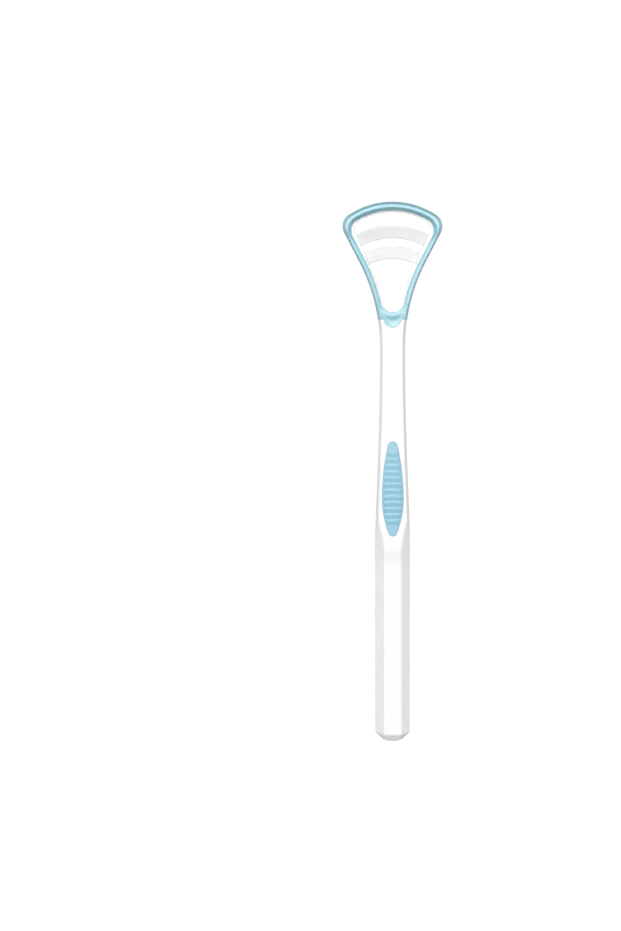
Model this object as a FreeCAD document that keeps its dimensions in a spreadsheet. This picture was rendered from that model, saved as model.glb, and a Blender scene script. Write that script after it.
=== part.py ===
import FreeCAD, Part
import Sketcher
import math
import os

# Tongue scraper, standing upright: +Z runs up the handle to the head, -Y is the
# front with the thumb grip, and the middle of the chamfered end's foot is at the origin.
# One rigid moulding (handle, neck, head loop and two scraper bars) carries two soft
# mouldings: a rim that wraps the head loop, and a ribbed thumb grip let into the front.

doc = FreeCAD.newDocument("tongue_scraper")
sheet = doc.addObject("Spreadsheet::Sheet", "dims")

# ---------------------------------------------------------------- driving dimensions
# millimetres; each is one cell of the sheet, with its name as the alias
CELLS = [
    # handle and neck: level, half width, front and back of each section
    ("shaft_z_a", 54.0), ("shaft_w_a", 5.60), ("shaft_f_a", 4.75), ("shaft_b_a", 4.30),
    ("shaft_z_b", 57.0), ("shaft_w_b", 5.60), ("shaft_f_b", 4.75), ("shaft_b_b", 4.30),
    ("shaft_z_c", 60.0), ("shaft_w_c", 5.60), ("shaft_f_c", 4.75), ("shaft_b_c", 4.30),
    ("shaft_z_d", 66.0), ("shaft_w_d", 5.55), ("shaft_f_d", 4.73), ("shaft_b_d", 4.25),
    ("shaft_z_e", 76.4), ("shaft_w_e", 5.27), ("shaft_f_e", 4.60), ("shaft_b_e", 4.05),
    ("shaft_z_f", 86.8), ("shaft_w_f", 4.86), ("shaft_f_f", 4.36), ("shaft_b_f", 3.74),
    ("shaft_z_g", 97.0), ("shaft_w_g", 4.50), ("shaft_f_g", 4.00), ("shaft_b_g", 3.38),
    ("shaft_z_h", 108.0), ("shaft_w_h", 4.22), ("shaft_f_h", 3.46), ("shaft_b_h", 3.04),
    ("shaft_z_i", 118.0), ("shaft_w_i", 4.08), ("shaft_f_i", 3.02), ("shaft_b_i", 2.84),
    ("shaft_z_j", 127.0), ("shaft_w_j", 4.05), ("shaft_f_j", 2.82), ("shaft_b_j", 2.80),
    ("shaft_z_k", 132.0), ("shaft_w_k", 4.206), ("shaft_f_k", 2.80), ("shaft_b_k", 2.80),
    ("shaft_z_l", 136.5), ("shaft_w_l", 4.702), ("shaft_f_l", 2.80), ("shaft_b_l", 2.80),
    ("shaft_corner", 1.4),
    # facets of the lower handle
    ("facet_front", 4.25), ("facet_flat_top", 55.2), ("facet_run_top", 61.9), ("facet_run_y", 4.875),
    ("facet_run", 36.25),
    ("bevel_distance", 5.031), ("bevel_angle", 47.63), ("bevel_flat_top", 54.5), ("bevel_out", 4.304),
    ("bevel_top", 82.0), ("bevel_run", 90.0), ("tool_far", 16.0),
    # chamfered end
    ("end_side_low", 1.421), ("end_side_out", 6.4), ("end_side_z", 3.612),
    ("end_face_low", 2.157), ("end_face_out", 5.2), ("end_face_z", 3.362),
    ("end_corner_angle", 40.40), ("end_corner_low", 3.140), ("end_corner_out", 7.6), ("end_corner_z", 6.507),
    # head outline
    ("head_top_r", 25.5), ("head_top_x", 14.207), ("head_top_z", 170.576), ("head_shoulder_r", 4.5),
    ("head_side_x", 15.695), ("head_side_z", 164.768), ("head_waist_x", 10.781), ("head_waist_z", 155.287),
    ("head_waist_r", 60.0), ("head_foot_x", 4.702), ("head_foot_z", 136.5),
    ("far_x", 30.0), ("far_z", 190.0),
    # loop of the rigid moulding, 0.9 inside the head outline
    ("loop_top_r", 24.6), ("loop_top_x", 13.706), ("loop_top_z", 169.828), ("loop_shoulder_r", 3.6),
    ("loop_side_x", 14.896), ("loop_side_z", 165.182), ("loop_waist_x", 9.982), ("loop_waist_z", 155.702),
    ("loop_waist_r", 60.9), ("loop_foot_x", 3.793),
    # inner edge of the soft rim
    ("rim_in_top_r", 22.75), ("rim_in_top_x", 11.492), ("rim_in_top_z", 169.034), ("rim_in_corner_r", 4.0),
    ("rim_in_side_x", 13.023), ("rim_in_side_z", 163.741), ("rim_in_waist_x", 9.094), ("rim_in_waist_z", 156.162),
    ("rim_in_waist_r", 61.9), ("rim_in_u_x", 3.769), ("rim_in_u_z", 141.741), ("rim_in_u_r", 3.870),
    # upper window of the loop
    ("win_top_r", 22.1), ("win_top_x", 11.128), ("win_top_z", 168.494), ("win_top_corner", 2.6),
    ("win_side_ux", 12.242), ("win_side_uz", 165.306), ("win_side_lx", 12.031), ("win_side_lz", 164.763),
    ("win_low_corner", 0.5), ("bar1_top_r", 26.0), ("bar1_top_x", 11.347), ("bar1_top_z", 164.494),
    # slot between the bars
    ("slot_top_r", 21.0), ("slot_top_x", 8.9), ("slot_top_z", 161.021), ("slot_end_r", 1.3),
    ("slot_low_r", 23.0), ("slot_low_x", 9.0), ("slot_low_z", 158.466),
    # lower window
    ("bar2_low_r", 19.0), ("bar2_low_x", 7.05), ("bar2_low_z", 154.843), ("low_corner", 0.5),
    ("low_side_x", 7.504), ("low_side_z", 154.3), ("low_waist_r", 62.5), ("low_u_x", 3.171), ("low_u_z", 141.819),
    ("low_u_r", 3.256),
    # side profile of the head: soft rim and loop, about a line that curves gently back
    ("rim_f_low", 2.8), ("rim_b_low", 2.8), ("band_z_mid", 148.0), ("band_z_top", 177.0),
    ("rim_f_mid", 1.975), ("rim_b_mid", 2.430), ("rim_f_top", 1.249), ("rim_b_top", 5.717),
    ("rim_f_r", 222.2), ("rim_b_r", 217.8),
    ("loop_f_low", 2.0), ("loop_b_low", 2.0), ("loop_f_mid", 0.774), ("loop_b_mid", 1.228),
    ("loop_f_top", 2.468), ("loop_b_top", 4.501), ("loop_f_r", 221.0), ("loop_b_r", 219.0),
    ("band_width", 50.0),
    # saddle tab on the throat, and its thumb-shaped dip
    ("tab_x", 3.15), ("tab_r", 3.19), ("tab_depth", 0.8), ("dip_r", 5.0), ("dip_y", 7.40), ("dip_z", 136.6),
    # edge rounding of the soft rim
    ("rim_round", 0.7),
    # thumb grip
    ("grip_top_x", 1.557), ("grip_top_z", 95.759), ("grip_top_r", 1.6), ("grip_wide_x", 3.55), ("grip_wide_z", 78.7),
    ("grip_up_r", 74.0), ("grip_low_x", 1.298), ("grip_low_z", 67.101), ("grip_low_end_r", 1.40), ("grip_low_r", 31.0),
    ("grip_floor", 3.1), ("grip_blank", 3.0),
    ("grip_front_low_z", 64.0), ("grip_front_low_y", 4.93), ("grip_front_high_z", 99.0), ("grip_front_high_y", 4.13),
    ("grip_front_r", 600.0), ("grip_far_y", 9.0),
    ("grip_inset", 0.65),
    ("rib_r", 0.85), ("rib_sink", 0.45), ("rib_first_z", 71.2), ("rib_first_y", 4.95), ("rib_span", 21.9), ("rib_count", 12.0),
    ("rib_lean", 1.36), ("rib_width", 12.0),
    ("stud_r", 1.1), ("stud_depth", 1.5), ("stud_pitch", 9.0), ("stud_mid_z", 80.0),
]
D = {}
for row, (name, value) in enumerate(CELLS, start=1):
    sheet.set("A%d" % row, name)
    sheet.set("B%d" % row, repr(value))
    sheet.setAlias("B%d" % row, name)
    D[name] = value
doc.recompute()


class Size:
    """A sum of named dimensions: its value now, and the expression that keeps it bound to the sheet."""

    def __init__(self, terms=(), const=0.0):
        self.terms = dict(terms)
        self.const = const

    def __add__(self, other):
        other = size(other)
        terms = dict(self.terms)
        for k, v in other.terms.items():
            terms[k] = terms.get(k, 0.0) + v
        return Size(terms, self.const + other.const)

    def __sub__(self, other):
        return self + (-size(other))

    def __neg__(self):
        return Size({k: -v for k, v in self.terms.items()}, -self.const)

    def __mul__(self, k):
        return Size({n: v * k for n, v in self.terms.items()}, self.const * k)

    @property
    def value(self):
        return self.const + sum(v * D[k] for k, v in self.terms.items())

    @property
    def expression(self):
        parts = ["%r * dims.%s" % (v, k) for k, v in self.terms.items() if v]
        if self.const:
            parts.append(repr(self.const))
        return " + ".join(parts).replace("+ -", "- ")


def size(x):
    if isinstance(x, Size):
        return x
    if isinstance(x, str):
        return Size({x: 1.0})
    return Size((), float(x))


def bind(obj, prop, what):
    obj.setExpression(prop, size(what).expression)


def new_body(name):
    body = doc.addObject("PartDesign::Body", name)
    body.Label = name
    return body


def plane_of(body, role):
    return [f for f in body.Origin.OriginFeatures if f.Role == role][0]


def new_sketch(body, name, role, offset=None, turn=None):
    """A sketch on one of the body's own origin planes, moved along the plane's normal by offset,
    or turned about the plane's vertical axis by turn degrees."""
    sk = body.newObject("Sketcher::SketchObject", name)
    sk.AttachmentSupport = [(plane_of(body, role), "")]
    sk.MapMode = "FlatFace"
    if offset is not None:
        off = size(offset)
        sk.AttachmentOffset = FreeCAD.Placement(FreeCAD.Vector(0, 0, off.value), FreeCAD.Rotation())
        bind(sk, ".AttachmentOffset.Base.z", off)
    if turn is not None:
        sk.AttachmentOffset = FreeCAD.Placement(FreeCAD.Vector(), FreeCAD.Rotation(FreeCAD.Vector(0, 1, 0), turn))
    return sk


def draw(sk, verts, segs):
    """A closed outline in sk. verts are pairs of sizes; segs[i] joins vert i to the next: None for a line,
    (radius, side) for an arc whose centre lies to the left (side 1) or right (side -1) of the way along it,
    and a third entry True for an arc of more than half a circle."""
    n = len(verts)
    verts = [(size(a), size(b)) for a, b in verts]
    pts = [FreeCAD.Vector(a.value, b.value, 0) for a, b in verts]
    first = []
    last = []
    for i in range(n):
        p, q = pts[i], pts[(i + 1) % n]
        seg = segs[i]
        if seg is None:
            g = sk.addGeometry(Part.LineSegment(p, q), False)
            first.append((g, 1))
            last.append((g, 2))
            continue
        r = size(seg[0])
        side = seg[1]
        big = len(seg) > 2 and seg[2]
        d = q - p
        half = d.Length / 2.0
        h = math.sqrt(max(r.value ** 2 - half ** 2, 0.0))
        left = FreeCAD.Vector(-d.y, d.x, 0).normalize()
        c = (p + q) * 0.5 + left * (h * side * (-1 if big else 1))
        a_p = math.atan2(p.y - c.y, p.x - c.x)
        a_q = math.atan2(q.y - c.y, q.x - c.x)
        if side > 0:
            a0, a1, ends = a_p, a_q, ((1,), (2,))
        else:
            a0, a1, ends = a_q, a_p, ((2,), (1,))
        while a1 <= a0:
            a1 += 2 * math.pi
        g = sk.addGeometry(Part.ArcOfCircle(Part.Circle(c, FreeCAD.Vector(0, 0, 1), r.value), a0, a1), False)
        first.append((g,) + ends[0])
        last.append((g,) + ends[1])
        k = sk.addConstraint(Sketcher.Constraint("Radius", g, r.value))
        if r.terms:
            bind(sk, "Constraints[%d]" % k, r)
    for i in range(n):
        g1, e1 = last[i]
        g2, e2 = first[(i + 1) % n]
        sk.addConstraint(Sketcher.Constraint("Coincident", g1, e1, g2, e2))
    for i in range(n):
        g, e = first[i]
        for kind, s in (("DistanceX", verts[i][0]), ("DistanceY", verts[i][1])):
            k = sk.addConstraint(Sketcher.Constraint(kind, -1, 1, g, e, s.value))
            if s.terms:
                bind(sk, "Constraints[%d]" % k, s)


def circle(sk, x, z, r):
    x, z, r = size(x), size(z), size(r)
    g = sk.addGeometry(Part.Circle(FreeCAD.Vector(x.value, z.value, 0), FreeCAD.Vector(0, 0, 1), r.value), False)
    for con, s in (
        (Sketcher.Constraint("DistanceX", -1, 1, g, 3, x.value), x),
        (Sketcher.Constraint("DistanceY", -1, 1, g, 3, z.value), z),
        (Sketcher.Constraint("Radius", g, r.value), r),
    ):
        k = sk.addConstraint(con)
        if s.terms:
            bind(sk, "Constraints[%d]" % k, s)


def volume(body):
    doc.recompute()
    return body.Shape.Volume


def pad(body, sk, length, both=False, back=False):
    f = body.newObject("PartDesign::Pad", sk.Name + "_pad")
    f.Profile = sk
    f.Type = "Length"
    f.SideType = "Symmetric" if both else "One side"
    f.Reversed = back
    f.Length = size(length).value
    if size(length).terms:
        bind(f, "Length", length)
    return f


def pocket(body, sk, length=None, both=False, back=False):
    """Cut the sketch out of the body, by a length, or right through on both sides. The cut has to take something."""
    before = volume(body)
    f = body.newObject("PartDesign::Pocket", sk.Name + "_cut")
    f.Profile = sk
    f.SideType = "Symmetric" if both else "One side"
    f.Reversed = back
    if length is None:
        f.Type = "ThroughAll"
    else:
        f.Type = "Length"
        f.Length = size(length).value
        if size(length).terms:
            bind(f, "Length", length)
    after = volume(body)
    if not after < before - 1e-4:
        raise RuntimeError("%s cuts nothing: %.3f to %.3f" % (sk.Name, before, after))
    return f


# ------------------------------------------------------------------ rigid moulding
core = new_body("handle_core")

# Head loop: a band of the loop's thickness, seen from the side ...
sk = new_sketch(core, "loop_band", "YZ_Plane")
draw(
    sk,
    [
        (-size("loop_f_low"), "head_foot_z"),
        ("loop_b_low", "head_foot_z"),
        ("loop_b_mid", "band_z_mid"),
        ("loop_b_top", "band_z_top"),
        ("loop_f_top", "band_z_top"),
        (-size("loop_f_mid"), "band_z_mid"),
    ],
    [None, None, ("loop_b_r", -1), None, ("loop_f_r", 1), None],
)
pad(core, sk, "band_width", both=True)

# ... trimmed to the loop's outline, seen from the front ...
sk = new_sketch(core, "loop_outline", "XZ_Plane")
draw(
    sk,
    [
        (-size("far_x"), "head_foot_z"),
        (-size("loop_foot_x"), "head_foot_z"),
        (-size("loop_waist_x"), "loop_waist_z"),
        (-size("loop_side_x"), "loop_side_z"),
        (-size("loop_top_x"), "loop_top_z"),
        ("loop_top_x", "loop_top_z"),
        ("loop_side_x", "loop_side_z"),
        ("loop_waist_x", "loop_waist_z"),
        ("loop_foot_x", "head_foot_z"),
        ("far_x", "head_foot_z"),
        ("far_x", "far_z"),
        (-size("far_x"), "far_z"),
    ],
    [
        None,
        ("loop_waist_r", 1),
        None,
        ("loop_shoulder_r", -1),
        ("loop_top_r", -1),
        ("loop_shoulder_r", -1),
        None,
        ("loop_waist_r", 1),
        None,
        None,
        None,
        None,
    ],
)
pocket(core, sk, both=True)

# ... and opened by three windows, which leave two curved scraper bars across the loop
sk = new_sketch(core, "loop_windows", "XZ_Plane")
draw(
    sk,
    [
        (-size("win_top_x"), "win_top_z"),
        ("win_top_x", "win_top_z"),
        ("win_side_ux", "win_side_uz"),
        ("win_side_lx", "win_side_lz"),
        ("bar1_top_x", "bar1_top_z"),
        (-size("bar1_top_x"), "bar1_top_z"),
        (-size("win_side_lx"), "win_side_lz"),
        (-size("win_side_ux"), "win_side_uz"),
    ],
    [
        ("win_top_r", -1),
        ("win_top_corner", -1),
        None,
        ("win_low_corner", -1),
        ("bar1_top_r", 1),
        ("win_low_corner", -1),
        None,
        ("win_top_corner", -1),
    ],
)
draw(
    sk,
    [
        (-size("slot_top_x"), "slot_top_z"),
        ("slot_top_x", "slot_top_z"),
        ("slot_low_x", "slot_low_z"),
        (-size("slot_low_x"), "slot_low_z"),
    ],
    [("slot_top_r", -1), ("slot_end_r", -1), ("slot_low_r", 1), ("slot_end_r", -1)],
)
draw(
    sk,
    [
        (-size("bar2_low_x"), "bar2_low_z"),
        ("bar2_low_x", "bar2_low_z"),
        ("low_side_x", "low_side_z"),
        ("low_u_x", "low_u_z"),
        (-size("low_u_x"), "low_u_z"),
        (-size("low_side_x"), "low_side_z"),
    ],
    [
        ("bar2_low_r", -1),
        ("low_corner", -1),
        ("low_waist_r", 1),
        ("low_u_r", -1),
        ("low_waist_r", 1),
        ("low_corner", -1),
    ],
)
pocket(core, sk, both=True)

# Handle and neck: one loft through rounded rectangles, up to the shut-off step under the soft rim
sections = []
for k in "abcdefghijkl":
    w, f, b = size("shaft_w_" + k), size("shaft_f_" + k), size("shaft_b_" + k)
    r = size("shaft_corner")
    sk = new_sketch(core, "shaft_" + k, "XY_Plane", offset="shaft_z_" + k)
    draw(
        sk,
        [
            (-w + r, -f),
            (w - r, -f),
            (w, -f + r),
            (w, b - r),
            (w - r, b),
            (-w + r, b),
            (-w, b - r),
            (-w, -f + r),
        ],
        [None, (r, 1), None, (r, 1), None, (r, 1), None, (r, 1)],
    )
    sections.append(sk)
doc.recompute()
loft = core.newObject("PartDesign::AdditiveLoft", "shaft_loft")
loft.Profile = sections[0]
loft.Sections = sections[1:]
loft.Ruled = False

# Lower handle: straight, with the loft's first section all the way down
w, f, b, r = size("shaft_w_a"), size("shaft_f_a"), size("shaft_b_a"), size("shaft_corner")
sk = new_sketch(core, "lower_handle", "XY_Plane")
draw(
    sk,
    [
        (-w + r, -f),
        (w - r, -f),
        (w, -f + r),
        (w, b - r),
        (w - r, b),
        (-w + r, b),
        (-w, b - r),
        (-w, -f + r),
    ],
    [None, (r, 1), None, (r, 1), None, (r, 1), None, (r, 1)],
)
pad(core, sk, "shaft_z_a")

# Front facet: flat below, running out upwards to a straight crease under the thumb grip
sk = new_sketch(core, "front_facet", "YZ_Plane")
draw(
    sk,
    [
        (-size("facet_front"), -5.0),
        (-size("facet_front"), "facet_flat_top"),
        (-size("facet_run_y"), "facet_run_top"),
        (-size("tool_far"), "facet_run_top"),
        (-size("tool_far"), -5.0),
    ],
    [None, ("facet_run", 1), None, None, None],
)
pocket(core, sk, both=True)

# Four side bevels, flat below and running out to a point at the silhouette beside the grip.
# Each sketch stands on the handle's axis, with its horizontal along the bevel's own normal.
for name, turn in (
    ("bevel_fr", -D["bevel_angle"]),
    ("bevel_fl", D["bevel_angle"] - 180.0),
    ("bevel_br", D["bevel_angle"]),
    ("bevel_bl", 180.0 - D["bevel_angle"]),
):
    sk = new_sketch(core, name, "XZ_Plane", turn=turn)
    draw(
        sk,
        [
            ("bevel_distance", -5.0),
            ("bevel_distance", "bevel_flat_top"),
            (size("bevel_distance") + "bevel_out", "bevel_top"),
            ("tool_far", "bevel_top"),
            ("tool_far", -5.0),
        ],
        [None, ("bevel_run", -1), None, None, None],
    )
    pocket(core, sk, both=True)

# Chamfered end: one slanted face for each of the handle's eight faces, round a small flat foot
for name, turn, kind in (
    ("end_right", 0.0, "side"),
    ("end_left", 180.0, "side"),
    ("end_front", -90.0, "face"),
    ("end_back", 90.0, "face"),
    ("end_fr", -D["end_corner_angle"], "corner"),
    ("end_fl", D["end_corner_angle"] - 180.0, "corner"),
    ("end_br", D["end_corner_angle"], "corner"),
    ("end_bl", 180.0 - D["end_corner_angle"], "corner"),
):
    sk = new_sketch(core, name, "XZ_Plane", turn=turn)
    draw(
        sk,
        [
            ("end_" + kind + "_low", -1.0),
            ("tool_far", -1.0),
            ("tool_far", "end_" + kind + "_z"),
            ("end_" + kind + "_out", "end_" + kind + "_z"),
        ],
        [None, None, None, None],
    )
    pocket(core, sk, both=True)

# Recesses for the saddle tab, in the front and the back of the throat
for name, face in (("tab_front", 1), ("tab_back", -1)):
    sk = new_sketch(core, name, "XZ_Plane", offset=size("rim_f_low") * face - size("tab_depth") * face)
    draw(
        sk,
        [(-size("tab_x"), "head_foot_z"), ("tab_x", "head_foot_z")],
        [None, ("tab_r", -1, False)],
    )
    pocket(core, sk, "tab_depth", back=face > 0)


# Recess for the thumb grip, with three blind holes that key it
def grip_outline(sk, inset=0.0):
    """The leaf outline of the grip: two end arcs and two pairs of side arcs, all moved inward by inset about their own centres."""
    c_up = D["grip_wide_x"] - D["grip_up_r"]
    c_low = D["grip_wide_x"] - D["grip_low_r"]
    draw(
        sk,
        [
            (size("grip_top_x") - inset_of(inset, "grip_top_x", c_up, D["grip_up_r"]), size("grip_top_z") - inset_of(inset, "grip_top_z", D["grip_wide_z"], D["grip_up_r"])),
            (size("grip_wide_x") - inset, "grip_wide_z"),
            (size("grip_low_x") - inset_of(inset, "grip_low_x", c_low, D["grip_low_r"]), size("grip_low_z") - inset_of(inset, "grip_low_z", D["grip_wide_z"], D["grip_low_r"])),
            (-size("grip_low_x") + inset_of(inset, "grip_low_x", c_low, D["grip_low_r"]), size("grip_low_z") - inset_of(inset, "grip_low_z", D["grip_wide_z"], D["grip_low_r"])),
            (-size("grip_wide_x") + inset, "grip_wide_z"),
            (-size("grip_top_x") + inset_of(inset, "grip_top_x", c_up, D["grip_up_r"]), size("grip_top_z") - inset_of(inset, "grip_top_z", D["grip_wide_z"], D["grip_up_r"])),
        ],
        [
            (size("grip_up_r") - inset, -1),
            (size("grip_low_r") - inset, -1),
            (size("grip_low_end_r") - inset, -1),
            (size("grip_low_r") - inset, -1),
            (size("grip_up_r") - inset, -1),
            (size("grip_top_r") - inset, -1),
        ],
    )


def inset_of(inset, name, centre, radius):
    """How far one coordinate of a point on an arc moves when the arc shrinks by inset about its centre."""
    return size(inset) * ((D[name] - centre) / radius) if inset else size(0.0)


def stud_circles(sk):
    for k in (-1, 0, 1):
        circle(sk, 0.0, size("stud_mid_z") + size("stud_pitch") * k, "stud_r")


sk = new_sketch(core, "grip_recess", "XZ_Plane", offset="grip_floor")
grip_outline(sk)
pocket(core, sk, "grip_blank", back=True)
sk = new_sketch(core, "grip_keys", "XZ_Plane", offset="grip_floor")
stud_circles(sk)
pocket(core, sk, "stud_depth")
doc.recompute()

# --------------------------------------------------------------------- soft head rim
rim = new_body("rim_blank")
sk = new_sketch(rim, "rim_band", "YZ_Plane")
draw(
    sk,
    [
        (-size("rim_f_low"), "head_foot_z"),
        ("rim_b_low", "head_foot_z"),
        ("rim_b_mid", "band_z_mid"),
        ("rim_b_top", "band_z_top"),
        ("rim_f_top", "band_z_top"),
        (-size("rim_f_mid"), "band_z_mid"),
    ],
    [None, None, ("rim_b_r", -1), None, ("rim_f_r", 1), None],
)
pad(rim, sk, "band_width", both=True)
sk = new_sketch(rim, "head_outline", "XZ_Plane")
draw(
    sk,
    [
        (-size("far_x"), "head_foot_z"),
        (-size("head_foot_x"), "head_foot_z"),
        (-size("head_waist_x"), "head_waist_z"),
        (-size("head_side_x"), "head_side_z"),
        (-size("head_top_x"), "head_top_z"),
        ("head_top_x", "head_top_z"),
        ("head_side_x", "head_side_z"),
        ("head_waist_x", "head_waist_z"),
        ("head_foot_x", "head_foot_z"),
        ("far_x", "head_foot_z"),
        ("far_x", "far_z"),
        (-size("far_x"), "far_z"),
    ],
    [
        None,
        ("head_waist_r", 1),
        None,
        ("head_shoulder_r", -1),
        ("head_top_r", -1),
        ("head_shoulder_r", -1),
        None,
        ("head_waist_r", 1),
        None,
        None,
        None,
        None,
    ],
)
pocket(rim, sk, both=True)
sk = new_sketch(rim, "rim_opening", "XZ_Plane")
draw(
    sk,
    [
        (-size("rim_in_top_x"), "rim_in_top_z"),
        ("rim_in_top_x", "rim_in_top_z"),
        ("rim_in_side_x", "rim_in_side_z"),
        ("rim_in_waist_x", "rim_in_waist_z"),
        ("rim_in_u_x", "rim_in_u_z"),
        (-size("rim_in_u_x"), "rim_in_u_z"),
        (-size("rim_in_waist_x"), "rim_in_waist_z"),
        (-size("rim_in_side_x"), "rim_in_side_z"),
    ],
    [
        ("rim_in_top_r", -1),
        ("rim_in_corner_r", -1),
        None,
        ("rim_in_waist_r", 1),
        ("rim_in_u_r", -1),
        ("rim_in_waist_r", 1),
        None,
        ("rim_in_corner_r", -1),
    ],
)
pocket(rim, sk, both=True)
doc.recompute()

# the rim's front and back are rounded over along both of its edges, as a soft bead is
edges = []
square = rim.Tip
for i, e in enumerate(square.Shape.Edges, start=1):
    m = e.valueAt((e.FirstParameter + e.LastParameter) / 2.0)
    a, b = e.valueAt(e.FirstParameter), e.valueAt(e.LastParameter)
    across = abs(a.y - b.y) > 1.5 and math.hypot(a.x - b.x, a.z - b.z) < 0.01
    at_foot = max(a.z, b.z, m.z) < D["head_foot_z"] + 0.01
    straight_over = abs(a.z - b.z) < 1e-6 and abs(a.z - D["band_z_mid"]) < 0.01
    if not across and not at_foot and not straight_over:
        edges.append("Edge%d" % i)
bead = rim.newObject("PartDesign::Fillet", "rim_bead")
bead.Base = (square, edges)
bead.Radius = D["rim_round"]
bind(bead, "Radius", "rim_round")
rim.Tip = bead
doc.recompute()

# the groove that the loop fills
groove = doc.addObject("Part::Cut", "rim_grooved")
groove.Base = rim
groove.Tool = core

# saddle tabs, front and back, that fill their recesses
tabs = []
for name, face in (("saddle_tab_front", 1), ("saddle_tab_back", -1)):
    tab = new_body(name)
    sk = new_sketch(tab, name + "_outline", "XZ_Plane", offset=size("rim_f_low") * face - size("tab_depth") * face)
    draw(sk, [(-size("tab_x"), "head_foot_z"), ("tab_x", "head_foot_z")], [None, ("tab_r", -1, False)])
    pad(tab, sk, "tab_depth", back=face < 0)
    tabs.append(tab)
doc.recompute()

joined = doc.addObject("Part::MultiFuse", "rim_with_tabs")
joined.Shapes = [groove] + tabs
dip = doc.addObject("Part::Sphere", "saddle_dip")
bind(dip, "Radius", "dip_r")
dip.Placement.Base = FreeCAD.Vector(0, -D["dip_y"], D["dip_z"])
bind(dip, ".Placement.Base.y", -size("dip_y"))
bind(dip, ".Placement.Base.z", "dip_z")
soft_rim = doc.addObject("Part::Cut", "soft_head_rim")
soft_rim.Label = "soft_head_rim"
soft_rim.Base = joined
soft_rim.Tool = dip
soft_rim.Refine = True
doc.recompute()

# ----------------------------------------------------------------------- thumb grip
grip = new_body("grip_pad")
sk = new_sketch(grip, "grip_blank", "XZ_Plane", offset="grip_floor")
grip_outline(sk)
pad(grip, sk, "grip_blank")
sk = new_sketch(grip, "grip_front", "YZ_Plane")
draw(
    sk,
    [
        (-size("grip_front_low_y"), "grip_front_low_z"),
        (-size("grip_front_high_y"), "grip_front_high_z"),
        (-size("grip_far_y"), "grip_front_high_z"),
        (-size("grip_far_y"), "grip_front_low_z"),
    ],
    [("grip_front_r", -1), None, None, None],
)
pocket(grip, sk, both=True)
sk = new_sketch(grip, "grip_studs", "XZ_Plane", offset="grip_floor")
stud_circles(sk)
pad(grip, sk, "stud_depth", back=True)

ribs = new_body("grip_ribs")
sk = new_sketch(ribs, "rib", "YZ_Plane")
sk.AttachmentOffset = FreeCAD.Placement(
    FreeCAD.Vector(-D["rib_first_y"] + D["rib_sink"], D["rib_first_z"], 0), FreeCAD.Rotation(FreeCAD.Vector(0, 0, 1), -D["rib_lean"])
)
bind(sk, ".AttachmentOffset.Base.x", size("rib_sink") - size("rib_first_y"))
bind(sk, ".AttachmentOffset.Base.y", "rib_first_z")
circle(sk, 0.0, 0.0, "rib_r")
rib = pad(ribs, sk, "rib_width", both=True)
doc.recompute()
row = ribs.newObject("PartDesign::LinearPattern", "rib_row")
row.Originals = [rib]
row.Direction = (sk, ["V_Axis"])
row.Mode = "Extent"
row.Length = D["rib_span"]
bind(row, "Length", "rib_span")
row.Occurrences = int(D["rib_count"])
bind(row, "Occurrences", "rib_count")
ribs.Tip = row
doc.recompute()
field = new_body("rib_field")
sk = new_sketch(field, "rib_field_outline", "XZ_Plane", offset="grip_floor")
grip_outline(sk, inset=size("grip_inset"))
pad(field, sk, "grip_blank")
doc.recompute()
clipped = doc.addObject("Part::Common", "ribs_clipped")
clipped.Base = ribs
clipped.Tool = field
thumb = doc.addObject("Part::Fuse", "thumb_grip")
thumb.Label = "thumb_grip"
thumb.Base = grip
thumb.Tool = clipped
thumb.Refine = True
doc.recompute()

# --------------------------------------------------------------------- test and write
for o in doc.Objects:
    if "Invalid" in o.State or "Error" in o.State:
        raise RuntimeError("%s is %s" % (o.Name, o.State))
pieces = [core, soft_rim, thumb]
for p in pieces:
    s = p.Shape
    if s.isNull() or not s.isValid() or len(s.Solids) != 1:
        raise RuntimeError("%s: null %s, valid %s, solids %d" % (p.Label, s.isNull(), s.isValid(), len(s.Solids)))
    b = s.BoundBox
    print(
        "%-14s volume %9.2f  x %.2f..%.2f  y %.2f..%.2f  z %.2f..%.2f  faces %d"
        % (p.Label, s.Volume, b.XMin, b.XMax, b.YMin, b.YMax, b.ZMin, b.ZMax, len(s.Faces))
    )
for i, a in enumerate(pieces):
    for b in pieces[i + 1 :]:
        print("overlap %s %s %.5f" % (a.Label, b.Label, a.Shape.common(b.Shape).Volume))

os.makedirs("parts", exist_ok=True)
for p in pieces:
    p.Shape.exportStep("parts/%s.step" % p.Label)
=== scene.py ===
"""Tongue scraper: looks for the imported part. Lengths in the shape functions are millimetres, written to the meshes in metres."""

import bpy
import numpy as np
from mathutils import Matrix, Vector


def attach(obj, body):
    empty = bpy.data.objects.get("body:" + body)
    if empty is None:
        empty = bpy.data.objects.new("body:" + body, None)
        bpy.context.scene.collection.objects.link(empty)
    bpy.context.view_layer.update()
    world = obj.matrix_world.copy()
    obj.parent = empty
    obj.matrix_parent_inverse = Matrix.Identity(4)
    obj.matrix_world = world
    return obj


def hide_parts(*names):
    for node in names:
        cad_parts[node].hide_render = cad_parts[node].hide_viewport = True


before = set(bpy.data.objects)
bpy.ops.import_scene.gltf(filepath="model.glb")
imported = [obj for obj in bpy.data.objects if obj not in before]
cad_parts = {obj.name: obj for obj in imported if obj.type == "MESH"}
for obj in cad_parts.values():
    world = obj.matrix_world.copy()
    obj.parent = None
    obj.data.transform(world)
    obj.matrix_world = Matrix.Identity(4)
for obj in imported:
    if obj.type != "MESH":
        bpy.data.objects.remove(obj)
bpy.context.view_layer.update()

# ---------------------------------------------------------------- distance helpers


def both_round(a, b, r):
    """The inside of a and of b, with the edge between them rounded to r."""
    u = np.maximum(r + a, 0.0)
    v = np.maximum(r + b, 0.0)
    return np.minimum(-r, np.maximum(a, b)) + np.sqrt(u * u + v * v)


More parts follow.
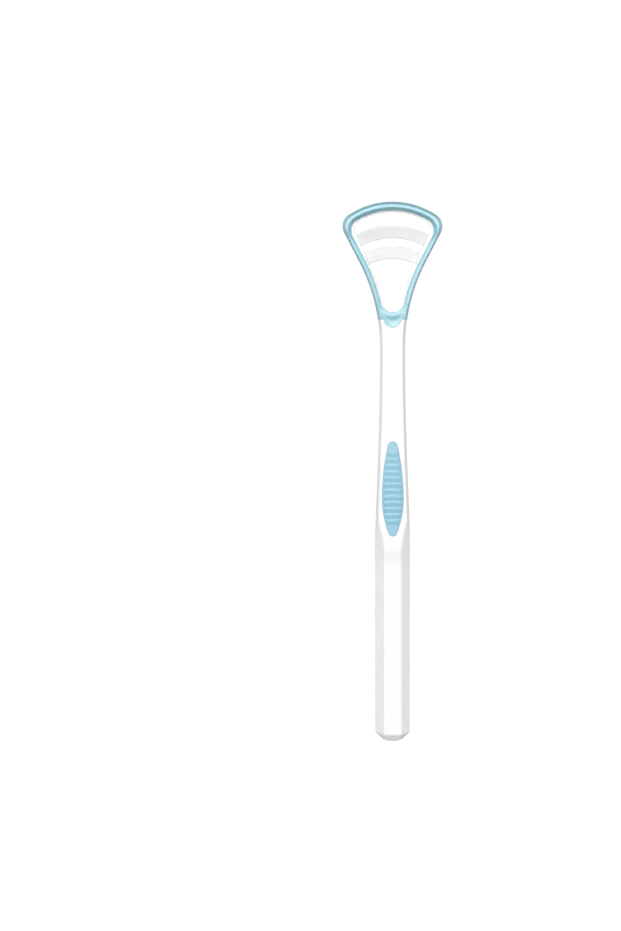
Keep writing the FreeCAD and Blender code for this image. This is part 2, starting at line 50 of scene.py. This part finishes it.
def either_round(a, b, r):
    """The inside of a or of b, with the inner corner between them filled to r."""
    u = np.maximum(r - a, 0.0)
    v = np.maximum(r - b, 0.0)
    return np.maximum(r, np.minimum(a, b)) - np.sqrt(u * u + v * v)


def step(t, low, high):
    t = np.clip((t - low) / (high - low), 0.0, 1.0)
    return t * t * (3.0 - 2.0 * t)


def circle(x, z, cx, cz, r):
    return np.hypot(x - cx, z - cz) - r


def right_of(x, z, p, d):
    """Above zero to the right of the line through p along d."""
    return (x - p[0]) * d[1] - (z - p[1]) * d[0]


def smooth_curve(z, zs, vs):
    """A smooth curve through the stations that doesn't overshoot them."""
    zs, vs = np.asarray(zs, float), np.asarray(vs, float)
    h = np.diff(zs)
    s = np.diff(vs) / h
    m = np.zeros(len(zs))
    for i in range(1, len(zs) - 1):
        if s[i - 1] * s[i] > 0:
            a, b = 2 * h[i] + h[i - 1], h[i] + 2 * h[i - 1]
            m[i] = (a + b) / (a / s[i - 1] + b / s[i])
    m[0], m[-1] = s[0], s[-1]
    zc = np.clip(z, zs[0], zs[-1])
    i = np.clip(np.searchsorted(zs, zc, side="right") - 1, 0, len(h) - 1)
    t = (zc - zs[i]) / h[i]
    return (
        (1 + 2 * t) * (1 - t) ** 2 * vs[i]
        + t * (1 - t) ** 2 * h[i] * m[i]
        + t * t * (3 - 2 * t) * vs[i + 1]
        + t * t * (t - 1) * h[i] * m[i + 1]
    )


# ---------------------------------------------------------------- outlines seen from the front

SIDE = (0.8879, -0.4601)  # the head's straight side, outward


def side_line(x, z, px, pz):
    return (x - px) * SIDE[0] + (z - pz) * SIDE[1]


def head_outline(x, z):
    top = circle(x, z, 0.0, 149.4, 25.5)
    shoulder = circle(x, z, 11.700, 166.839, 4.5)
    side = side_line(x, z, 15.695, 164.768)
    waist = 60.0 - np.hypot(x - 64.05, z - 127.676)
    d = np.where((z - 155.288) * SIDE[0] - (x - 10.781) * SIDE[1] > 0, side, waist)
    above = (z - 166.839) * SIDE[0] - (x - 11.700) * SIDE[1] > 0
    d = np.where(above, shoulder, d)
    return np.where(
        right_of(x, z, (0.0, 149.4), (14.207, 21.176)) < 0, top, d
    )


def rim_hole(x, z):
    top = circle(x, z, 0.0, 149.4, 22.45)
    corner = circle(x, z, 9.333, 165.315, 4.0)
    side = side_line(x, z, 13.023, 163.741)
    waist = 61.9 - np.hypot(x - 64.05, z - 127.676)
    foot = circle(x, z, 0.0, 142.620, 3.870)
    d = np.where((z - 142.620) * 3.769 + x * 0.879 > 0, waist, foot)
    d = np.where((z - 156.162) * SIDE[0] - (x - 9.094) * SIDE[1] > 0, side, d)
    d = np.where((z - 165.315) * SIDE[0] - (x - 9.333) * SIDE[1] > 0, corner, d)
    return np.where(right_of(x, z, (0.0, 149.4), (11.357, 19.365)) < 0, top, d)


def loop_hole(x, z):
    """Inside the rigid loop, bars left out."""
    line = (x - 12.242) * 0.9185 - (z - 165.306) * 0.3954
    waist = 62.5 - np.hypot(x - 64.05, z - 127.676)
    foot = circle(x, z, 0.0, 142.556, 3.256)
    side = np.where((z - 142.556) * 3.171 + x * 0.737 > 0, waist, foot)
    side = np.where((z - 154.3) * 0.91 + (x - 7.504) * 0.41 > 0, line, side)
    return both_round(circle(x, z, 0.0, 149.4, 22.1), side, 2.6)


def bar(x, y, z, top, low, middle, tilt, thick):
    """A curved scraper bar between two arcs, tilted to present its upper edge."""
    flat = np.maximum(circle(x, z, 0.0, *top), -circle(x, z, 0.0, *low))
    flat = np.maximum(flat, (x - 12.642) * 0.9185 - (z - 165.306) * 0.3954)
    at = lean(middle) + (z - middle) * (0.1 - tilt)
    d = both_round(flat, np.abs(y - at) - thick, 0.20)
    lip = 0.95 * (circle(x, z, 0.0, *top) + 0.27) + 0.312 * (at - y - thick)
    return both_round(d, lip, 0.10)


def leaf(x, z):
    high = circle(x, z, -70.45, 78.7, 74.0)
    tip = circle(x, z, 0.0, 95.391, 1.60)
    low = circle(x, z, -27.45, 78.7, 31.0)
    toe = circle(x, z, 0.0, 67.626, 1.40)
    high = np.where((z - 95.391) * 1.557 - x * 0.368 > 0, tip, high)
    low = np.where((67.626 - z) * 1.298 - x * 0.525 > 0, toe, low)
    return np.where(z > 78.7, high, low)


# ---------------------------------------------------------------- the side view

STATIONS = [54.0, 57.0, 60.0, 66.0, 76.4, 86.8, 97.0, 108.0, 118.0, 127.0, 132.0, 136.5]
WIDE = [5.60, 5.60, 5.60, 5.55, 5.27, 4.86, 4.50, 4.22, 4.08, 4.05, 4.206, 4.702]
FRONT = [4.75, 4.75, 4.75, 4.73, 4.60, 4.36, 4.00, 3.46, 3.02, 2.82, 2.80, 2.80]
BACK = [4.30, 4.30, 4.30, 4.25, 4.05, 3.74, 3.38, 3.04, 2.84, 2.80, 2.80, 2.80]


def run_out(z, start, r):
    """How far a facet has run out of its plane at height z, along an arc."""
    t = np.clip(z - start, 0.0, 0.8 * r)
    return r - np.sqrt(r * r - t * t)


def lean(z):
    t = np.maximum(z - 138.0, 0.0)
    return 220.0 - np.sqrt(220.0 * 220.0 - t * t)


def shaft(x, y, z):
    w = smooth_curve(z, STATIONS, WIDE)
    f = smooth_curve(z, STATIONS, FRONT)
    b = smooth_curve(z, STATIONS, BACK)
    c = 0.25
    qx = x - w + c
    qy = np.abs(y - (b - f) / 2) - (b + f) / 2 + c
    d = (
        np.hypot(np.maximum(qx, 0.0), np.maximum(qy, 0.0))
        + np.minimum(np.maximum(qx, qy), 0.0)
        - c
    )
    flank = 0.883 * (x - w + 0.82) + 0.469 * (qy - c)
    d = both_round(d, flank, 0.18)
    bevel = 0.6739 * x + 0.7388 * np.abs(y) - 5.031 - run_out(z, 54.5, 90.0)
    d = both_round(d, bevel, 0.22)
    facet = -y - 4.25 - run_out(z, 55.2, 36.25)
    d = both_round(d, facet, 0.08)
    away = np.abs(y)
    sides = 0.679 * x - 0.733 * z - 1.698
    faces = 0.820 * away - 0.572 * z - 2.341
    corners = 0.6546 * x + 0.5571 * away - 0.5107 * z - 3.147
    sides = both_round(sides, -z, 1.20)
    end = both_round(both_round(sides, faces, 0.30), corners, 0.30)
    return both_round(d, end, 0.22)


def pad_front(x, z):
    t = (z - 64.0) / 35.0
    return -(4.93 - 0.80 * t + 4 * 0.2552 * t * (1.0 - t)) + 0.010 * x * x


def tab_outline(x, z):
    return circle(x, z, 0.0, 137.0, 3.19)


def head_plate(x, y, z):
    """The rigid loop and its two bars, without the soft rim."""
    flat = np.maximum(head_outline(x, z) + 0.9, -loop_hole(x, z))
    t = 2.0 - 1.0 * step(z, 136.5, 148.0)
    d = both_round(flat, np.abs(y - lean(z)) - t, 0.30)
    upper = bar(x, y, z, (141.1, 26.0), (142.0, 21.0), 165.05 - 0.0224 * x * x, 0.42, 0.34)
    lower = bar(x, y, z, (137.3, 23.0), (137.2, 19.0), 158.25 - 0.0247 * x * x, 0.26, 0.40)
    d = either_round(d, np.minimum(upper, lower), 0.40)
    return np.maximum(d, 134.5 - z)


def core(p):
    x, y, z = np.abs(p[0]), p[1], p[2]
    d = np.maximum(shaft(x, y, z), z - 136.62)
    d = np.minimum(d, head_plate(x, y, z))
    tab = np.maximum(tab_outline(x, z), 2.0 - np.abs(y))
    pad = np.maximum(leaf(x, z), y + 3.1)
    return np.maximum(np.maximum(d, -tab - 0.30), -pad - 0.30)


def rim(p):
    x, y, z = np.abs(p[0]), p[1], p[2]
    out = head_outline(x, z) - 0.05
    hole = -rim_hole(x, z)
    t = 3.10 - 0.90 * step(z, 136.5, 148.0)
    reach = np.hypot(x, z - 142.62)
    off = reach - 6.80 + 0.07 * x * x
    valley = 0.60 * np.exp(-((off / np.where(off < 0, 1.75, 1.85)) ** 2))
    valley = valley * np.exp(-((x / 3.7) ** 4)) * (z < 142.62)
    v = y - lean(z)
    band = np.maximum(-v - t + valley, v - t)
    high = step(z, 160.0, 168.5)
    low = 1.0 - step(z, 137.0, 147.0)
    flank_o = 0.52 + 0.42 * high + 0.20 * low
    flank_i = 0.92 + 0.12 * high - 0.20 * low
    steep = 0.37 + 0.49 * high
    far = np.maximum(-v - t + valley - 0.55 * high, v - t)
    outer = 0.920 * (out + flank_o) + 0.392 * far
    inner = (hole + flank_i) * steep + far * np.sqrt(1.0 - steep * steep)
    d = both_round(both_round(out, far, 0.25), outer, 0.30)
    d = both_round(d, both_round(hole, inner, 0.20), 0.35)
    d = both_round(d, 136.5 - z, 0.22)
    tab = np.maximum(tab_outline(x, z), 2.0 - np.abs(y))
    tab = both_round(np.maximum(tab, z - 137.2), band, 0.24)
    d = np.minimum(d, tab)
    hard = np.minimum(np.maximum(shaft(x, y, z), z - 136.62), head_plate(x, y, z))
    hard = np.maximum(hard, -np.maximum(tab_outline(x, z), 2.0 - np.abs(y)) - 0.30)
    return both_round(d, -hard - 0.25, 0.15)


def grip(p):
    x, y, z = np.abs(p[0]), p[1], p[2]
    edge = leaf(x, z)
    above = pad_front(x, z) - y
    pitch = 21.9 / 11.0
    along = (z + 0.042 * x * x - 71.2) / pitch
    t = along - np.clip(np.floor(along + 0.62), 0, 11)
    fall = 0.5 * t * (1 / 0.38 - 1 / 0.62) + 0.5 * np.sqrt((t * (1 / 0.38 + 1 / 0.62)) ** 2 + 0.25**2)
    rise = 0.17 * np.maximum(1.0 - fall, 0.0)
    rise = rise * step(-edge, 0.35, 1.00)
    d = both_round(edge, above - rise, 0.28)
    return np.maximum(d, y + 3.1)


# ---------------------------------------------------------------- meshing


def part_faces(val):
    """Flip the weakest corner of each grid face whose inside corners lie on a diagonal, so that no
    edge of the mesh is shared by four quads."""
    for _ in range(12):
        found = 0
        for b, c in ((0, 1), (1, 2), (2, 0)):
            corners = []
            for db in (0, 1):
                for dc in (0, 1):
                    cut = [slice(None)] * 3
                    cut[b] = slice(db, val.shape[b] - 1 + db)
                    cut[c] = slice(dc, val.shape[c] - 1 + dc)
                    corners.append(val[tuple(cut)] < 0)
            at = np.nonzero(
                (corners[0] == corners[3]) & (corners[1] == corners[2]) & (corners[0] != corners[1])
            )
            for i in zip(*at):
                spots = []
                for db in (0, 1):
                    for dc in (0, 1):
                        j = list(i)
                        j[b] += db
                        j[c] += dc
                        spots.append(tuple(j))
                weak = min(spots, key=lambda j: abs(val[j]))
                val[weak] = -val[weak] if val[weak] != 0 else -1e-6
            found += len(at[0])
        if not found:
            return


def surface(f, xs, ys, zs, rounds=3):
    """A closed quad mesh of the surface f = 0 on a grid, with its vertices moved onto the surface."""
    xs, ys, zs = (np.asarray(a, float) for a in (xs, ys, zs))
    shape = (len(xs), len(ys), len(zs))
    val = np.empty(shape)
    for i in range(0, shape[2], 32):
        g = np.meshgrid(xs, ys, zs[i : i + 32], indexing="ij")
        val[:, :, i : i + 32] = f(g)
    part_faces(val)
    cells = (shape[0] - 1, shape[1] - 1, shape[2] - 1)
    total = cells[0] * cells[1] * cells[2]
    sums = np.zeros((3, total))
    count = np.zeros(total)
    quads = []
    axes = (xs, ys, zs)
    strides = (cells[1] * cells[2], cells[2], 1)
    for a in range(3):
        b, c = (a + 1) % 3, (a + 2) % 3
        lo = [slice(None)] * 3
        hi = [slice(None)] * 3
        lo[a], hi[a] = slice(0, -1), slice(1, None)
        v0, v1 = val[tuple(lo)], val[tuple(hi)]
        cross = np.nonzero((v0 < 0) != (v1 < 0))
        w0, w1 = v0[cross], v1[cross]
        t = w0 / (w0 - w1)
        at = [axes[k][cross[k]] for k in range(3)]
        at[a] = at[a] + t * (axes[a][cross[a] + 1] - axes[a][cross[a]])
        around = []
        for db, dc in ((-1, -1), (0, -1), (0, 0), (-1, 0)):
            idx = [cross[0].copy(), cross[1].copy(), cross[2].copy()]
            idx[b] += db
            idx[c] += dc
            lin = idx[0] * strides[0] + idx[1] * strides[1] + idx[2] * strides[2]
            around.append(lin)
            for k in range(3):
                sums[k] += np.bincount(lin, at[k], total)
            count += np.bincount(lin, minlength=total)
        q = np.stack(around, 1)
        q[w0 >= 0] = q[w0 >= 0][:, ::-1]
        quads.append(q)
    used = np.nonzero(count)[0]
    index = np.full(total, -1)
    index[used] = np.arange(len(used))
    v = sums[:, used] / count[used]
    quads = index[np.concatenate(quads)]

    def slope(v):
        h = 0.012
        g = np.empty_like(v)
        for k in range(3):
            up, down = v.copy(), v.copy()
            up[k] += h
            down[k] -= h
            g[k] = (f(up) - f(down)) / (2 * h)
        return g

    def settle(v, times):
        for _ in range(times):
            g = slope(v)
            n2 = np.maximum((g * g).sum(0), 0.25)
            v = v - np.clip(f(v) / n2, -0.15, 0.15) * g
        return v

    v = settle(v, 2)
    n = v.shape[1]
    ends = np.concatenate([quads[:, [0, 1]], quads[:, [1, 2]], quads[:, [2, 3]], quads[:, [3, 0]]])
    degree = np.bincount(ends[:, 0], minlength=n) + np.bincount(ends[:, 1], minlength=n)
    for _ in range(rounds):
        mean = np.stack(
            [
                np.bincount(ends[:, 0], v[k][ends[:, 1]], n)
                + np.bincount(ends[:, 1], v[k][ends[:, 0]], n)
                for k in range(3)
            ]
        ) / degree
        g = slope(v)
        g = g / np.maximum(np.sqrt((g * g).sum(0)), 1e-6)
        move = mean - v
        move -= (move * g).sum(0) * g
        v = settle(v + 0.6 * move, 1)
    v = settle(v, 2)
    g = slope(v)
    g = g / np.maximum(np.sqrt((g * g).sum(0)), 1e-6)
    return v, quads, g


def put(name, made, node, material):
    v, quads, normal = made
    mesh = bpy.data.meshes.new(name)
    mesh.vertices.add(v.shape[1])
    mesh.vertices.foreach_set("co", (v.T * 0.001).astype(np.float32).ravel())
    mesh.loops.add(quads.size)
    mesh.loops.foreach_set("vertex_index", quads.astype(np.int32).ravel())
    mesh.polygons.add(len(quads))
    mesh.polygons.foreach_set("loop_start", np.arange(0, quads.size, 4, dtype=np.int32))
    mesh.polygons.foreach_set("use_smooth", np.ones(len(quads), bool))
    mesh.update(calc_edges=True)
    mesh.validate()
    mesh.normals_split_custom_set_from_vertices(normal.T.astype(np.float32))
    mesh.materials.append(material)
    o = bpy.data.objects.new(name, mesh)
    bpy.context.scene.collection.objects.link(o)
    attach(o, "root")
    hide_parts(node)
    print(name, len(quads) * 2, "triangles", v.min(1).round(2), v.max(1).round(2))
    return o


def levels(*spans):
    """Grid lines over spans of (low, high, pitch), joined end to end."""
    out = [spans[0][0]]
    for low, high, pitch in spans:
        n = max(1, int(round((high - low) / pitch)))
        out.extend(low + (high - low) * (i + 1) / n for i in range(n))
    return np.array(out)


# ---------------------------------------------------------------- materials


def new_material(name):
    m = bpy.data.materials.new(name)
    m.use_nodes = True
    t = m.node_tree
    return m, t, t.nodes["Principled BSDF"]


def node(tree, kind, **values):
    n = tree.nodes.new(kind)
    for k, x in values.items():
        if k in n.inputs:
            n.inputs[k].default_value = x
        else:
            setattr(n, k, x)
    return n


def ramp(tree, source, stops):
    r = tree.nodes.new("ShaderNodeValToRGB")
    e = r.color_ramp.elements
    while len(e) < len(stops):
        e.new(0.5)
    for s, (at, colour) in zip(e, stops):
        s.position = at
        s.color = (*colour, 1.0)
    tree.links.new(source, r.inputs["Fac"])
    return r.outputs["Color"]


def white_plastic():
    m, t, bsdf = new_material("white_polypropylene")
    where = node(t, "ShaderNodeTexCoord")
    flow = node(t, "ShaderNodeTexNoise", Scale=60.0, Detail=3.0, Roughness=0.5)
    t.links.new(where.outputs["Object"], flow.inputs["Vector"])
    t.links.new(
        ramp(t, flow.outputs["Fac"], [(0.30, (0.880, 0.882, 0.880)), (0.70, (0.905, 0.906, 0.902))]),
        bsdf.inputs["Base Color"],
    )
    t.links.new(
        ramp(t, flow.outputs["Fac"], [(0.35, (0.33, 0.33, 0.33)), (0.65, (0.40, 0.40, 0.40))]),
        bsdf.inputs["Roughness"],
    )
    grain = node(t, "ShaderNodeTexNoise", Scale=5200.0, Detail=2.0, Roughness=0.6)
    t.links.new(where.outputs["Object"], grain.inputs["Vector"])
    bump = node(t, "ShaderNodeBump", Strength=0.10, Distance=0.00002)
    t.links.new(grain.outputs["Fac"], bump.inputs["Height"])
    t.links.new(bump.outputs["Normal"], bsdf.inputs["Normal"])
    bsdf.inputs["IOR"].default_value = 1.49
    bsdf.inputs["Subsurface Weight"].default_value = 0.12
    bsdf.inputs["Subsurface Radius"].default_value = (1.0, 0.95, 0.9)
    bsdf.inputs["Subsurface Scale"].default_value = 0.0008
    return m


def blue_elastomer(name, dark, light, gloss):
    m, t, bsdf = new_material(name)
    where = node(t, "ShaderNodeTexCoord")
    cloud = node(t, "ShaderNodeTexNoise", Scale=900.0, Detail=2.0, Roughness=0.50)
    t.links.new(where.outputs["Object"], cloud.inputs["Vector"])
    t.links.new(
        ramp(t, cloud.outputs["Fac"], [(0.20, dark), (0.80, light)]),
        bsdf.inputs["Base Color"],
    )
    t.links.new(
        ramp(t, cloud.outputs["Fac"], [(0.20, (0.255, 0.255, 0.255)), (0.80, (0.275, 0.275, 0.275))]),
        bsdf.inputs["Roughness"],
    )
    grain = node(t, "ShaderNodeTexNoise", Scale=4200.0, Detail=3.0, Roughness=0.6)
    t.links.new(where.outputs["Object"], grain.inputs["Vector"])
    bump = node(t, "ShaderNodeBump", Strength=0.06, Distance=0.00001)
    t.links.new(grain.outputs["Fac"], bump.inputs["Height"])
    t.links.new(bump.outputs["Normal"], bsdf.inputs["Normal"])
    bsdf.inputs["IOR"].default_value = 1.56
    bsdf.inputs["Specular IOR Level"].default_value = gloss
    return m


white = white_plastic()
blue = blue_elastomer("blue_elastomer_rim", (0.268, 0.548, 0.634), (0.283, 0.566, 0.652), 0.95)
blue_pad = blue_elastomer("blue_elastomer_grip", (0.210, 0.474, 0.602), (0.223, 0.491, 0.619), 0.60)

# ---------------------------------------------------------------- the three pieces

put(
    "handle_core_moulding",
    surface(
        core,
        levels((-15.62, 15.62, 0.22)),
        levels((-5.1, 5.1, 0.22)),
        levels((-0.33, 6.0, 0.22), (6.0, 54.0, 0.8), (54.0, 65.6, 0.4), (65.6, 97.6, 0.32), (97.6, 131.0, 0.7), (131.0, 174.4, 0.22)),
    ),
    "handle_core",
    white,
)
put(
    "soft_head_rim_moulding",
    surface(
        rim,
        levels((-16.52, 16.52, 0.19)),
        levels((-3.3, 5.7, 0.19)),
        levels((132.7, 175.3, 0.19)),
    ),
    "soft_head_rim",
    blue,
)
put(
    "thumb_grip_moulding",
    surface(
        grip,
        levels((-3.8, 3.8, 0.14)),
        levels((-5.7, -2.9, 0.14)),
        levels((65.9, 97.3, 0.14)),
    ),
    "thumb_grip",
    blue_pad,
)

# ---------------------------------------------------------------- floor, light, camera


def floor_plane():
    mesh = bpy.data.meshes.new("floor")
    s = 3.0
    mesh.from_pydata([(-s, -s, 0), (s, -s, 0), (s, s, 0), (-s, s, 0)], [], [(0, 1, 2, 3)])
    o = bpy.data.objects.new("floor", mesh)
    bpy.context.scene.collection.objects.link(o)
    m, t, bsdf = new_material("white_acrylic_table")
    where = node(t, "ShaderNodeTexCoord")
    cloud = node(t, "ShaderNodeTexNoise", Scale=3.0, Detail=2.0)
    t.links.new(where.outputs["Object"], cloud.inputs["Vector"])
    t.links.new(
        ramp(t, cloud.outputs["Fac"], [(0.3, (0.90, 0.90, 0.90)), (0.7, (0.92, 0.92, 0.92))]),
        bsdf.inputs["Base Color"],
    )
    bsdf.inputs["Roughness"].default_value = 0.6
    bsdf.inputs["Specular IOR Level"].default_value = 0.0
    bsdf.inputs["Emission Color"].default_value = (1.0, 1.0, 1.0, 1.0)
    bsdf.inputs["Emission Strength"].default_value = 0.72
    mesh.materials.append(m)
    o.visible_diffuse = False
    o.visible_glossy = False
    o.visible_transmission = False
    o.visible_shadow = False
    return o


floor_plane()

scene = bpy.context.scene
world = bpy.data.worlds.new("studio")
scene.world = world
world.use_nodes = True
wt = world.node_tree
wt.nodes.clear()
out = wt.nodes.new("ShaderNodeOutputWorld")
mix = wt.nodes.new("ShaderNodeMixShader")
path = wt.nodes.new("ShaderNodeLightPath")
seen = node(wt, "ShaderNodeBackground", Color=(1.0, 1.0, 1.0, 1.0), Strength=1.05)
lit = node(wt, "ShaderNodeBackground", Color=(1.0, 1.0, 1.0, 1.0))
where = wt.nodes.new("ShaderNodeTexCoord")


def math_node(op, a, b):
    n = wt.nodes.new("ShaderNodeMath")
    n.operation = op
    for i, s in enumerate((a, b)):
        if isinstance(s, (int, float)):
            n.inputs[i].default_value = s
        else:
            wt.links.new(s, n.inputs[i])
    return n.outputs[0]




def lobe(direction, sharp, strength):
    """Light that comes mostly from one direction."""
    d = wt.nodes.new("ShaderNodeVectorMath")
    d.operation = "DOT_PRODUCT"
    wt.links.new(where.outputs["Generated"], d.inputs[0])
    n = np.array(direction) / np.linalg.norm(direction)
    d.inputs[1].default_value = [float(k) for k in n]
    towards = math_node("MAXIMUM", d.outputs["Value"], 0.0)
    return math_node("MULTIPLY", math_node("POWER", towards, sharp), strength)


total = 0.10
for direction, sharp, strength in (
    ((-0.05, -0.965, 0.26), 8.0, 4.42),
    ((0.85, 0.50, 0.15), 4.0, 1.00),
    ((-0.85, 0.50, 0.15), 4.0, 1.00),
    ((0.0, 0.75, -0.66), 10.0, 1.70),
):
    total = math_node("ADD", lobe(direction, sharp, strength), total)
wt.links.new(total, lit.inputs["Strength"])
wt.links.new(path.outputs["Is Camera Ray"], mix.inputs["Fac"])
wt.links.new(lit.outputs["Background"], mix.inputs[1])
wt.links.new(seen.outputs["Background"], mix.inputs[2])
wt.links.new(mix.outputs["Shader"], out.inputs["Surface"])



def softbox(name, at, size, power, towards=(0.0, 0.0, 0.1)):
    light = bpy.data.lights.new(name, "AREA")
    light.size = size
    light.energy = power
    o = bpy.data.objects.new(name, light)
    o.location = at
    o.rotation_euler = (Vector(towards) - Vector(at)).to_track_quat("-Z", "Y").to_euler()
    scene.collection.objects.link(o)


softbox("key", (-0.14, -1.18, 1.08), 0.25, 2.7)

cam = bpy.data.cameras.new("camera")
cam.lens = 200.0
cam.sensor_width = 36.0
cam.clip_start, cam.clip_end = 0.05, 50.0
eye = bpy.data.objects.new("camera", cam)
eye.location = (-0.0266, -1.677, 0.0892)
eye.rotation_euler = (np.pi / 2, 0.0, 0.0)
scene.collection.objects.link(eye)
scene.camera = eye
scene.view_settings.view_transform = "Standard"
